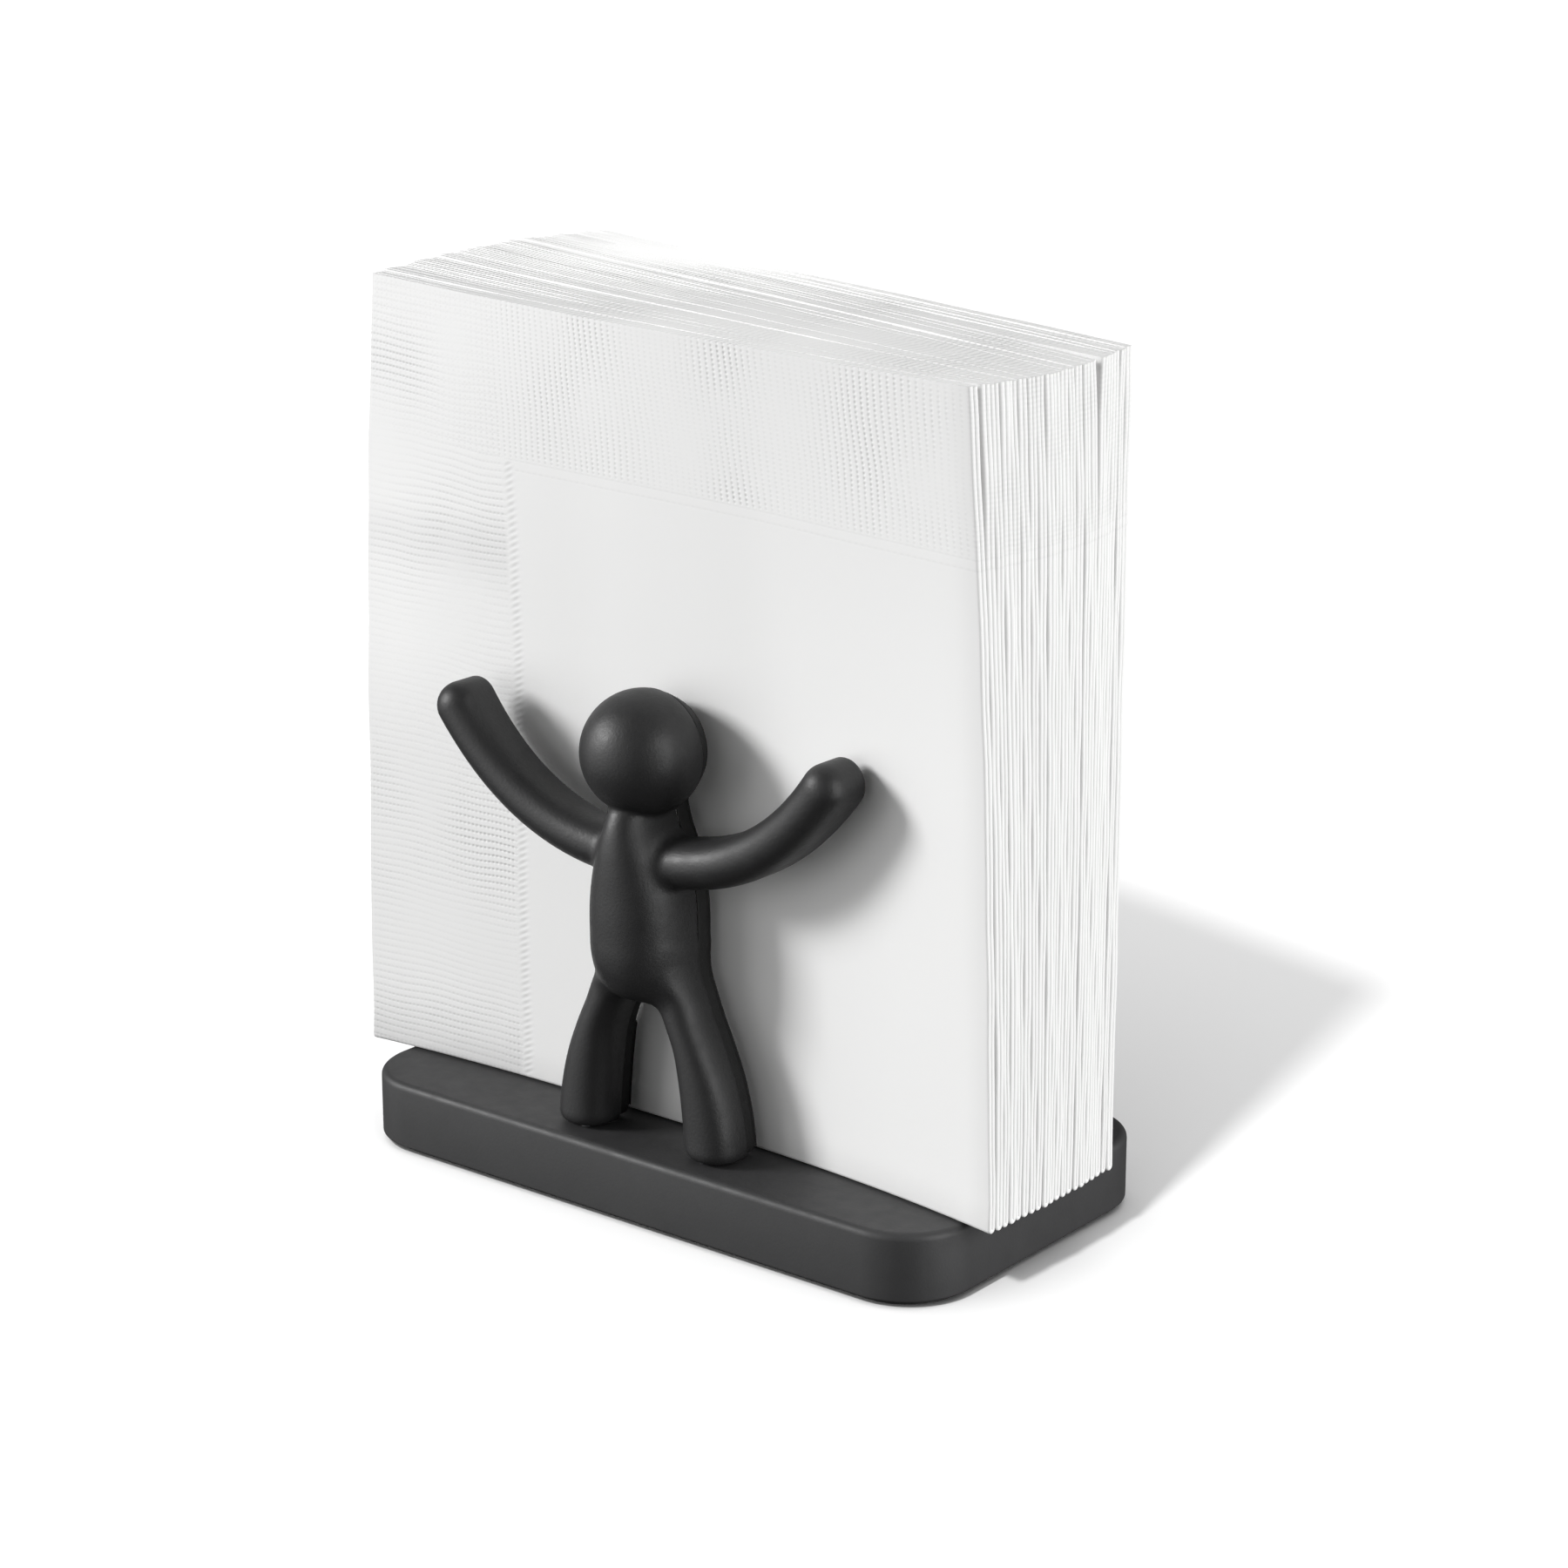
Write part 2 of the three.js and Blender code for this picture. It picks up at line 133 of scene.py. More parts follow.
# Refill, mm
NAPKIN_COUNT = 20
NAPKIN_SIZE = 165
STACK_RIGHT = 81.3
STACK_FOOT = BASE_TOP + 0.3
STACK_ENDS = (-84, 82)
STACK_HALF = 82
FREE_EDGE = 78  # distance from the middle where nothing holds the paper any more
FRONT_GRIP = 24
REAR_GRIP = 54
GRIP_HEIGHT = 104
FRONT_FOOT = -21
FRONT_BOW = 6.4  # how far the foot's ends bow forwards
BOW_MIDDLE = -12
BOW_SPAN = 92
FRONT_TOP = -31
FRONT_SLANT = 0.125
FRONT_CROWN = 3  # how far its middle stands out at the top
BACK_FOOT = 23.5
BACK_DRAWN_IN = 9  # at the right end, over the first span
BACK_SPREAD = 3.4  # at the left end, over the second
BACK_SPANS = (81, 30)
BACK_TOP = 35.2
BACK_SLANT = 0.262
SHEET_HEIGHT = 163.6  # of a folded napkin, without the thickness of its lower fold
THICKEST_LEAF = 0.9  # a soft two-ply tissue, as loose as it gets at the top of the stack
LEAF_SHARE = 0.95  # of a folded napkin's thickness that its four leaves fill
SWOLLEN_SHARE = 0.99
GAP = 0.3
LEAST_GAP = 0.03
SWELL_HEIGHTS = (150, 162)  # the leaves start to swell, and touch
SWELL_ENDS = (70, 50)  # x at which they stay apart, and touch
SLIP = (0.7, 0.009)  # of the middle napkins to the right: at the foot, and more for each mm up
CORNER_DROP = 0.7  # of the middle napkins' top right corners
RISE = 0.012  # of the middle napkins for each mm away from their fold
FOLD_FLATNESS = 0.2  # below 1, a folded edge is pressed flat across and tight at its corners
FOLD_STEPS = 8
SHEET_CELLS = 30
OPENED = {0: (0.6, 90), 14: (2.0, 132)}  # gaps at the top right: width there and height of their ends

# Embossing of a napkin, mm: places are measured in from its free side edge and down from its top
SIDE_BORDER = 41
TOP_BORDER = 32
RIB_PITCH = 1.5
RIB_DOTS = 1.1
ROW_PITCH = 1.65
ROW_DOTS = 0.95
STITCH_PITCH = 1.4
STITCH_SLANT = 0.45
EMBOSSING_DEPTH = 0.14
FLAT_STRENGTH = 0.22  # of the embossing where the border lies flat
RIB_CREASES = [(50, 9), (116, 12), (158, 8)]  # place down and half width
ROW_CREASES = [(61, 17), (104, 8), (146, 15)]  # place in and half width

# Lights: area lights in W, suns in W/m2
LIGHT_DISTANCE = 3.0
LIGHT_AIM = Vector((0, 0, 0.08))
KEY_POWER = 78
SIDE_FILL_POWER = 36
FRONT_POWER = 16
RIGHT_POWER = 176
FLOOR_FRONT_STRENGTH = 2.0
FLOOR_FILL_STRENGTH = 2.6
WORLD_STRENGTH = 0.095

# Floor and camera: metres and degrees
FLOOR_SIDE = 6.0
FLOOR_CELLS = 8
CAMERA_AZIMUTH = 38.46
CAMERA_ELEVATION = 16.89
CAMERA_PLACE = (0.4656, -0.5736, 0.3076)
CAMERA_LENS = 87.47  # mm
CAMERA_SENSOR = 36  # mm


# ---------- general helpers ----------


def placed(name, mesh, body, material):
    """An object with that mesh, riding on a CAD body."""
    mesh.materials.append(material)
    piece = bpy.data.objects.new(name, mesh)
    bpy.context.scene.collection.objects.link(piece)
    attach(piece, body)
    return piece


def new_piece(name, vertices, faces, body, material):
    """A smooth object from points in millimetres."""
    mesh = bpy.data.meshes.new(name)
    mesh.from_pydata((np.asarray(vertices) * MM).tolist(), [], faces)
    mesh.polygons.foreach_set("use_smooth", [True] * len(mesh.polygons))
    return placed(name, mesh, body, material)


def grid_faces(wide, tall):
    """Quads over a grid of points that are listed column by column."""
    faces = []
    for i in range(wide - 1):
        for j in range(tall - 1):
            a = i * tall + j
            b = a + tall
            faces.append((a, b, b + 1, a + 1))
    return faces


def curve_through(stations, at):
    """A smooth curve through (place, value) stations, read at the places given."""
    places, values = (np.array(column, float) for column in zip(*stations))
    slopes = np.gradient(values, places)
    i = np.clip(np.searchsorted(places, at) - 1, 0, len(places) - 2)
    span = places[i + 1] - places[i]
    t = np.clip((at - places[i]) / span, 0, 1)
    start = (1 + 2 * t) * (1 - t) ** 2 * values[i] + t * (1 - t) ** 2 * span * slopes[i]
    end = t**2 * (3 - 2 * t) * values[i + 1] + t**2 * (t - 1) * span * slopes[i + 1]
    return start + end


def mix(a, b, t):
    return a + (b - a) * t


def rising(value, low, high):
    """0 up to low, 1 from high on, and straight between them."""
    return np.clip((value - low) / (high - low), 0, 1)


def bell(value, centre, width):
    return np.exp(-(((value - centre) / width) ** 2))


# ---------- materials ----------


class Graph:
    """Builds a node material a step at a time; numbers and sockets can be mixed freely."""

    def __init__(self, name):
        self.material = bpy.data.materials.new(name)
        self.material.use_nodes = True
        self.tree = self.material.node_tree
        self.shader = self.tree.nodes["Principled BSDF"]

    def node(self, kind, inputs=(), **settings):
        made = self.tree.nodes.new(kind)
        for key, value in settings.items():
            setattr(made, key, value)
        for key, value in dict(inputs).items():
            if isinstance(value, bpy.types.NodeSocket):
                self.tree.links.new(value, made.inputs[key])
            else:
                made.inputs[key].default_value = value
        return made

    def math(self, operation, a, b=0.0, c=0.0):
        return self.node("ShaderNodeMath", {0: a, 1: b, 2: c}, operation=operation).outputs[0]

    def product(self, first, *others):
        result = first
        for value in others:
            result = self.math("MULTIPLY", result, value)
        return result

    def strongest(self, first, *others):
        result = first
        for value in others:
            result = self.math("MAXIMUM", result, value)
        return result

    def ramp(self, value, low, high, to_low=0.0, to_high=1.0):
        inputs = {"Value": value, "From Min": low, "From Max": high, "To Min": to_low, "To Max": to_high}
        return self.node("ShaderNodeMapRange", inputs).outputs["Result"]

    def noise(self, vector, scale, detail=3.0, roughness=0.5):
        inputs = {"Vector": vector, "Scale": scale, "Detail": detail, "Roughness": roughness}
        return self.node("ShaderNodeTexNoise", inputs).outputs["Fac"]

    def wave(self, place, pitch):
        """A cosine from 0 to 1 with that pitch."""
        turn = self.math("COSINE", self.math("MULTIPLY", place, 2 * math.pi / pitch))
        return self.math("MULTIPLY_ADD", turn, 0.5, 0.5)

    def hump(self, place, centre, half_width):
        """1 at the centre, falling smoothly to 0 at about twice the half width."""
        away = self.math("DIVIDE", self.math("SUBTRACT", place, centre), half_width)
        return self.math("EXPONENT", self.product(away, away, -1.0))

    def object_place(self):
        return self.node("ShaderNodeTexCoord").outputs["Object"]

    def colour(self, factor, dark, light):
        inputs = {0: factor, 6: (*dark, 1), 7: (*light, 1)}
        made = self.node("ShaderNodeMix", inputs, data_type="RGBA")
        self.tree.links.new(made.outputs[2], self.shader.inputs["Base Color"])

    def bump(self, height, distance):
        inputs = {"Height": height, "Distance": distance, "Strength": 1.0}
        made = self.node("ShaderNodeBump", inputs)
        self.tree.links.new(made.outputs[0], self.shader.inputs["Normal"])

    def roughness(self, value):
        self.tree.links.new(value, self.shader.inputs["Roughness"])


def moulded_plastic(name, tones, roughness, grain_size, grain_depth):
    """Moulded plastic with a fine orange-peel grain, faint mottling and uneven gloss.
    The grain's size and depth are in millimetres."""
    graph = Graph(name)
    place = graph.object_place()
    mottle = graph.noise(place, 90.0, 4.0, 0.6)
    graph.colour(graph.ramp(mottle, 0.3, 0.7), *tones)
    graph.roughness(graph.ramp(graph.noise(place, 260.0), 0.3, 0.7, roughness - 0.04, roughness + 0.05))
    peel = graph.noise(place, 1 / (grain_size * MM), 2.0, 0.55)
    graph.bump(peel, grain_depth * MM)
    return graph.material


def pad_rubber():
    """Dark rubber, dusty in places, with a fine pitted skin."""
    graph = Graph("pad_rubber")
    place = graph.object_place()
    dust = graph.noise(place, 60.0, 6.0, 0.7)
    graph.colour(graph.ramp(dust, 0.45, 0.8), (0.012, 0.012, 0.012), (0.03, 0.03, 0.029))
    graph.roughness(graph.ramp(dust, 0.3, 0.8, 0.78, 0.92))
    graph.bump(graph.noise(place, 1800.0, 2.0), 0.05 * MM)
    return graph.material


def plated_steel():
    """Zinc-plated steel with fine rolling lines and a cloudy finish."""
    graph = Graph("plated_steel")
    place = graph.object_place()
    stretched = graph.node("ShaderNodeMapping", {"Vector": place, "Scale": (0.05, 1.0, 1.0)}).outputs[0]
    lines = graph.noise(stretched, 2200.0, 3.0, 0.6)
    clouds = graph.noise(place, 140.0, 4.0, 0.6)
    graph.colour(graph.ramp(clouds, 0.3, 0.7), (0.5, 0.51, 0.52), (0.62, 0.63, 0.64))
    graph.roughness(graph.ramp(lines, 0.3, 0.7, 0.3, 0.48))
    graph.bump(lines, 0.02 * MM)
    graph.shader.inputs["Metallic"].default_value = 1.0
    return graph.material


def dotted_ridges(graph, across, along, pitch, sharpness, dots, faintest):
    """Ridges at the pitch, each one a line of dots that is faintest between them."""
    ridges = graph.math("POWER", graph.wave(across, pitch), sharpness)
    return graph.product(ridges, graph.ramp(graph.wave(along, dots), 0, 1, faintest, 1.0))


def in_side_border(graph, side):
    return graph.ramp(side, SIDE_BORDER, SIDE_BORDER - 1.0)


def border_embossing(graph, side, down, wander):
    """Ribs in the side border and rows in the top one, strong where the paper is creased."""
    ribs = dotted_ridges(graph, graph.math("ADD", down, wander), side, RIB_PITCH, 3.0, RIB_DOTS, 0.4)
    rows = dotted_ridges(graph, graph.math("ADD", side, wander), down, ROW_PITCH, 2.5, ROW_DOTS, 0.15)
    top_corner = graph.product(graph.hump(down, 18, 8), graph.ramp(side, 24, 14))
    rib_creases = [graph.hump(down, *crease) for crease in RIB_CREASES]
    row_creases = [graph.hump(side, *crease) for crease in ROW_CREASES]
    rib_strength = graph.ramp(graph.strongest(top_corner, *rib_creases), 0, 1, FLAT_STRENGTH, 1.0)
    row_strength = graph.ramp(graph.strongest(*row_creases), 0, 1, FLAT_STRENGTH, 1.0)
    in_top = graph.ramp(down, TOP_BORDER, TOP_BORDER - 1.0)
    return graph.strongest(
        graph.product(ribs, in_side_border(graph, side), rib_strength),
        graph.product(rows, in_top, row_strength),
    )


def inner_lines(graph, side, down):
    """Slanted stitches along the side border's inner edge, and two fine dotted lines under the top one."""
    slanted = graph.math("MULTIPLY_ADD", side, STITCH_SLANT, down)
    beside_border = graph.hump(side, SIDE_BORDER + 1.2, 1.1)
    below_top = graph.ramp(down, TOP_BORDER, TOP_BORDER + 1.0)
    stitches = graph.product(graph.wave(slanted, STITCH_PITCH), beside_border, below_top)
    dots = graph.ramp(graph.wave(side, ROW_PITCH), 0, 1, 0.4, 1.0)
    past_side = graph.ramp(side, SIDE_BORDER, SIDE_BORDER + 1.0)
    both = graph.strongest(graph.hump(down, TOP_BORDER, 0.25), graph.hump(down, TOP_BORDER + 2.0, 0.25))
    lines = graph.product(both, dots, past_side)
    return graph.strongest(graph.product(stitches, 0.5), graph.product(lines, 0.18))


def tissue_skin(graph, place):
    """Fine crepe, with longer fibres standing out where the paper is rubbed."""
    crepe = graph.noise(place, 1400.0, 3.0, 0.6)
    fibres = graph.noise(place, 420.0, 3.0, 0.6)
    rubbed = graph.ramp(graph.noise(place, 28.0, 3.0), 0.52, 0.66, 0.1, 0.32)
    return graph.math("MULTIPLY_ADD", crepe, 0.10, graph.product(fibres, rubbed))


def painted_shade_zones(graph, side, down):
    """Painted shade: two creased bands of the side border, where the puckered paper falls into shade, and the
    top corner, to dim the key light that falls more fully there, are made a little darker.
    """
    in_side = in_side_border(graph, side)
    upper_band = graph.product(graph.hump(down, 51, 8), in_side)
    lower_band = graph.product(graph.hump(down, 162, 7), in_side)
    top_corner = graph.product(graph.ramp(down, 75, 25), graph.ramp(side, 70, 10))
    return graph.strongest(upper_band, lower_band, top_corner)


def napkin_paper():
    """White tissue with a fine crepe, an embossed border of dotted ribs and a stitched inner line; painted
    shade darkens the embossing and a few creased and corner zones.
    """
    graph = Graph("napkin_paper")
    place = graph.object_place()
    sheet = graph.node("ShaderNodeUVMap", uv_map="sheet").outputs[0]
    split = graph.node("ShaderNodeSeparateXYZ", {0: sheet})
    side = graph.math("MULTIPLY", split.outputs[0], 1 / MM)
    down = graph.math("MULTIPLY", split.outputs[1], 1 / MM)
    wander = graph.math("MULTIPLY_ADD", graph.noise(place, 45.0, 1.0), 2.4, -1.2)
    patches = graph.ramp(graph.noise(place, 38.0, 2.0), 0.35, 0.62, 0.15, 1.0)
    border = graph.product(border_embossing(graph, side, down, wander), patches)
    # The embossing drives the bump, and below it also the painted shade of the dots and stitches.
    pressed = graph.strongest(border, inner_lines(graph, side, down))
    graph.bump(graph.math("SUBTRACT", tissue_skin(graph, place), pressed), EMBOSSING_DEPTH * MM)
    # Painted shade: the colour darkens in the creased bands and the top corner, and in the embossed dots and
    # stitches, standing in for the shade of the puckered paper and of the embossing's hollows.
    shade = graph.math("MULTIPLY_ADD", painted_shade_zones(graph, side, down), 0.35, graph.product(pressed, 0.8))
    graph.colour(shade, (0.87, 0.87, 0.865), (0.66, 0.66, 0.66))
    graph.shader.inputs["Roughness"].default_value = 0.92
    graph.shader.inputs["Specular IOR Level"].default_value = 0.25
    return graph.material


def pale_floor():
    """A plain pale studio sweep."""
    graph = Graph("pale_floor")
    tone = graph.noise(graph.object_place(), 3.0, 2.0)
    graph.colour(tone, (0.90, 0.90, 0.90), (0.915, 0.915, 0.915))
    graph.shader.inputs["Roughness"].default_value = 0.9
    graph.shader.inputs["Specular IOR Level"].default_value = 0.1
    return graph.material


FIGURE_TONES = ((0.0145, 0.0145, 0.015), (0.0175, 0.0175, 0.018))
BACK_TONES = ((0.006, 0.006, 0.006), (0.008, 0.008, 0.008))
BASE_TONES = ((0.032, 0.032, 0.033), (0.036, 0.036, 0.037))
FIGURE_BLACK = moulded_plastic("figure_black", FIGURE_TONES, 0.5, grain_size=0.6, grain_depth=0.045)
BACK_BLACK = moulded_plastic("back_black", BACK_TONES, 0.7, grain_size=0.7, grain_depth=0.035)
BASE_GREY = moulded_plastic("base_grey", BASE_TONES, 0.56, grain_size=0.55, grain_depth=0.02)
PAPER_WHITE = napkin_paper()
STEEL = plated_steel()
RUBBER = pad_rubber()


# ---------- figure: distance fields in millimetres, joined smoothly ----------


def rounded_section(across, deep, width, depth, power, along=0.0, reach_along=1.0):
    """About how far points lie outside a softly squared oval, which may round off along its length."""
    reach = np.sqrt(across**2 + deep**2 + along**2) + TINY
    total = np.abs(across / width) ** power + np.abs(deep / depth) ** power
    total = total + np.abs(along / reach_along) ** BELLY_POWER
    return reach - reach / np.maximum(total ** (1 / power), TINY)


def joined(a, b, softness):
    """The union of two fields with a fillet of about that size."""
    blend = np.maximum(softness - np.abs(a - b), 0) / softness
    return np.minimum(a, b) - blend**2 * softness / 4


def shared(a, b, softness):
    """What two fields have in common, with a rounding of about that size."""
    return -joined(-a, -b, softness)


def torso(x, deep, z):
    heights = np.maximum(z, BELLY_HEIGHT)
    width = curve_through([(h, w) for h, w, d in TORSO], heights)
    depth = curve_through([(h, d) for h, w, d in TORSO], heights)
    below = np.maximum(BELLY_HEIGHT - z, 0)
    forwards = np.maximum(deep - TORSO_STRAIGHT, 0)
    body = rounded_section(x, forwards, width, depth - TORSO_STRAIGHT, TORSO_POWER, below, BELLY_DROP)
    return np.maximum(body, z - HEAD[1])


def leg(x, deep, z):
    heights = np.clip(z, LEG[0][0], LEG_TOP)
    middle = curve_through([(h, m) for h, m, w in LEG], heights)
    width = curve_through([(h, w) for h, m, w in LEG], heights)
    forwards = np.maximum(deep - LEG_STRAIGHT, 0)
    limb = rounded_section(np.abs(x) - middle, forwards, width, LEG_FRONT, LEG_POWER)
    return np.maximum(limb, z - LEG_TOP)


def trunk(x, deep, z, leg_inset=0):
    form = joined(torso(x, deep, z), leg(x, deep, z) + leg_inset, CROTCH_FILLET)
    return shared(form, FOOT_BOTTOM - z, SOLE_ROUNDING)


def arm(x, deep, z):
    """Both arms: straight-sided behind and rounded in front, along a curve from shoulder to hand."""
    x = np.abs(x)
    nearest = np.full(x.shape, np.inf)
    radius = np.full(x.shape, ARM_RADIUS)
    straight = np.full(x.shape, ARM_STRAIGHT[0])
    share = np.linspace(0, 1, ARM_STEPS + 1)
    ends = np.array([SHOULDER, ARM_BEND, HAND], float)
    points = [(1 - t) ** 2 * ends[0] + 2 * t * (1 - t) * ends[1] + t**2 * ends[2] for t in share]
    for t, start, end in zip(share, points, points[1:]):
        run = end - start
        place = ((x - start[0]) * run[0] + (z - start[1]) * run[1]) / (run @ run)
        place = np.clip(place, 0, 1)
        away = np.hypot(x - start[0] - place * run[0], z - start[1] - place * run[1])
        closer = away < nearest
        nearest = np.where(closer, away, nearest)
        run_share = t + place / ARM_STEPS
        radius = np.where(closer, mix(ARM_RADIUS, HAND_RADIUS, run_share**4), radius)
        straight = np.where(closer, mix(*ARM_STRAIGHT, run_share), straight)
    forwards = np.maximum(deep - straight, 0)
    return np.hypot(nearest, forwards * radius / ARM_FRONT) - radius


def head(x, deep, z):
    return np.sqrt(x**2 + (deep - HEAD[0]) ** 2 + (z - HEAD[1]) ** 2) - HEAD_RADIUS


def front_form(x, y, z):
    deep = PARTING - y
    form = joined(trunk(x, deep, z), arm(x, deep, z), ARM_FILLET)
    return joined(form, head(x, deep, z), NECK_FILLET)


def back_form(x, y, z):
    """The trunk's outline at the parting plane drawn out straight, with a round head cap."""
    outline = trunk(x, np.zeros_like(x), z, BACK_LEG_INSET) + BACK_INSET
    return joined(outline, head(x, PARTING - y, z) + BACK_INSET, BACK_NECK_FILLET)


def gradient(field, points):
    sides = np.eye(3) * PROBE
    rise = [field(*(points + side).T) - field(*(points - side).T) for side in sides]
    return np.stack(rise, 1) / (2 * PROBE)


def onto_surface(field, points):
    slope = gradient(field, points)
    size = np.maximum((slope**2).sum(1), LEAST_SLOPE)
    shift = (field(*points.T) / size)[:, None] * slope
    return points - np.clip(shift, -LONGEST_MOVE, LONGEST_MOVE)


def quads_across(inside, number, axis):
    """A quad round each grid edge along the axis that crosses the surface."""
    size = inside.shape
    lower = np.take(inside, range(size[axis] - 1), axis)
    upper = np.take(inside, range(1, size[axis]), axis)
    crossing = np.argwhere(lower != upper)
    others = [i for i in range(3) if i != axis]
    fits = np.all([(crossing[:, i] > 0) & (crossing[:, i] < size[i] - 1) for i in others], axis=0)
    crossing = crossing[fits]
    around = []
    for a, b in ((-1, -1), (0, -1), (0, 0), (-1, 0)):
        cell = crossing.copy()
        cell[:, others[0]] += a
        cell[:, others[1]] += b
        around.append(number[tuple(cell.T)])
    quads = np.stack(around, 1)
    outwards = inside[tuple(crossing.T)] ^ (axis == 1)
    quads[~outwards] = quads[~outwards][:, ::-1]
    return quads


def surface_mesh(field, low, high, step):
    """Vertices and quads of the surface where the field is 0, one vertex to a grid cell."""
    axes = [np.arange(a - step, b + 1.5 * step, step) for a, b in zip(low, high)]
    inside = field(*np.meshgrid(*axes, indexing="ij")) < 0
    wide, deep, tall = (length - 1 for length in inside.shape)
    corners = [inside[i : wide + i, j : deep + j, k : tall + k]
               for i in (0, 1) for j in (0, 1) for k in (0, 1)]
    count = np.sum(corners, axis=0)
    mixed = (count > 0) & (count < len(corners))
    number = np.full(mixed.shape, -1)
    number[mixed] = np.arange(mixed.sum())
    cells = np.argwhere(mixed)
    points = np.stack([axes[i][cells[:, i]] + step / 2 for i in range(3)], 1)
    quads = np.concatenate([quads_across(inside, number, axis) for axis in range(3)])
    for _ in range(SETTLING_ROUNDS):
        points = onto_surface(field, points)
    for _ in range(SMOOTHING_ROUNDS):
        points = onto_surface(field, relaxed(points, quads))
    return points, quads


def relaxed(points, quads):
    """Each point moved half way to the middle of its neighbours, so that faces are even."""
    total = np.zeros_like(points)
    count = np.zeros(len(points))
    for side in range(4):
        a = quads[:, side]
        b = quads[:, (side + 1) % 4]
        np.add.at(total, a, points[b])
        np.add.at(total, b, points[a])
        np.add.at(count, a, 1)
        np.add.at(count, b, 1)
    return mix(points, total / count[:, None], 0.5)


def cut_flat(mesh, y, keep, rounding):
    """Cuts a closed form at a plane across Y and closes it with a flat face and a rounded rim.
    keep is -1 for the part in front of the plane and +1 for the part behind it."""
    plane = (0, y + keep * rounding, 0)
    everything = mesh.verts[:] + mesh.edges[:] + mesh.faces[:]
    bmesh.ops.bisect_plane(mesh, geom=everything, plane_co=plane, plane_no=(0, -keep, 0), clear_outer=True)
    bmesh.ops.remove_doubles(mesh, verts=mesh.verts[:], dist=MERGE_DISTANCE)
    rim = [edge for edge in mesh.edges if edge.is_boundary]
    mesh.normal_update()
    origins = {}
    for vertex in {v for edge in rim for v in edge.verts}:
        inwards = Vector((-vertex.normal.x, 0, -vertex.normal.z)).normalized()
        origins[vertex] = (vertex.co.copy(), inwards)
    for i in range(1, EDGE_ROWS + 1):
        turn = i / EDGE_ROWS * math.pi / 2
        made = bmesh.ops.extrude_edge_only(mesh, edges=rim)["geom"]
        origins = followed(made, origins)
        for vertex, (start, inwards) in origins.items():
            inset = inwards * rounding * (1 - math.cos(turn))
            vertex.co = start + inset + Vector((0, -keep * rounding * math.sin(turn), 0))
        rim = [item for item in made if isinstance(item, bmesh.types.BMEdge) and item.is_boundary]
    bmesh.ops.triangle_fill(mesh, edges=rim, use_beauty=True)


def followed(made, origins):
    """For each vertex of a newly extruded row, the origin of the vertex that it came from."""
    new_origins = {}
    for vertex in (item for item in made if isinstance(item, bmesh.types.BMVert)):
        ends = (edge.other_vert(vertex) for edge in vertex.link_edges)
        new_origins[vertex] = next(origins[end] for end in ends if end in origins)
    return new_origins


def figure_piece(name, points, quads, cuts, turned, material):
    """One moulded piece of a figure; the rear figure's are turned half way round."""
    mesh = bmesh.new()
    vertices = [mesh.verts.new(point) for point in points]
    for quad in quads:
        mesh.faces.new([vertices[i] for i in quad])
    for y, keep, rounding in cuts:
        cut_flat(mesh, y, keep, rounding)
    bmesh.ops.recalc_face_normals(mesh, faces=mesh.faces[:])
    for face in mesh.faces:
        face.smooth = True
    if turned:
        for vertex in mesh.verts:
            vertex.co = Vector((-vertex.co.x, -vertex.co.y, vertex.co.z))
    bmesh.ops.scale(mesh, vec=(MM, MM, MM), verts=mesh.verts[:])
    data = bpy.data.meshes.new(name)
    mesh.to_mesh(data)
    mesh.free()
    return placed(name, data, "holder", material)


def make_figures():
    half_width, depth = MOULDING_REACH
    low = (-half_width, PARTING - depth, FIGURE_LOW)
    high = (half_width, PARTING + MOULDING_SPARE, FIGURE_HIGH)
    moulding_form = surface_mesh(front_form, low, high, MOULDING_CELL)
    low = (-BACK_REACH, BACK_FRONT - BACK_SPARE, FIGURE_LOW)
    high = (BACK_REACH, FIGURE_BACK + BACK_SPARE, FIGURE_HIGH)
    flat_form = surface_mesh(back_form, low, high, BACK_CELL)
    moulding_cuts = [(PARTING, -1, MOULDING_EDGE)]
    flat_cuts = [(BACK_FRONT, 1, BACK_FRONT_EDGE), (FIGURE_BACK, -1, BACK_REAR_EDGE)]
    for side, turned in (("front", False), ("rear", True)):
        name = side + "_figure_moulding"
        moulding = figure_piece(name, *moulding_form, moulding_cuts, turned, FIGURE_BLACK)
        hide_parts(side + "_figure_shell")
        name = side + "_figure_flat"
        flat = figure_piece(name, *flat_form, flat_cuts, turned, BACK_BLACK)
        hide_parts(side + "_figure_back")


# ---------- base ----------


def rounded_ring(inset, height):
    """Points round the base's outline, drawn in by the inset."""
    radius = BASE_CORNER - inset
    x = BASE_LENGTH / 2 - inset - radius
    y = BASE_DEPTH / 2 - inset - radius
    corners = [(x, y, 0), (-x, y, 90), (-x, -y, 180), (x, -y, 270)]
    ring = []
    for cx, cy, start in corners:
        for step in range(CORNER_STEPS + 1):
            turn = math.radians(start + step * 90 / CORNER_STEPS)
            ring.append((cx + radius * math.cos(turn), cy + radius * math.sin(turn), height))
    return ring


def quarter_round(inset, height, radius, start):
    """(inset, height) pairs round a convex edge; start is the angle of its first normal, in degrees."""
    pairs = []
    for step in range(EDGE_STEPS + 1):
        turn = math.radians(start + step * 90 / EDGE_STEPS)
        pairs.append((inset - radius * math.cos(turn), height + radius * math.sin(turn)))
    return pairs


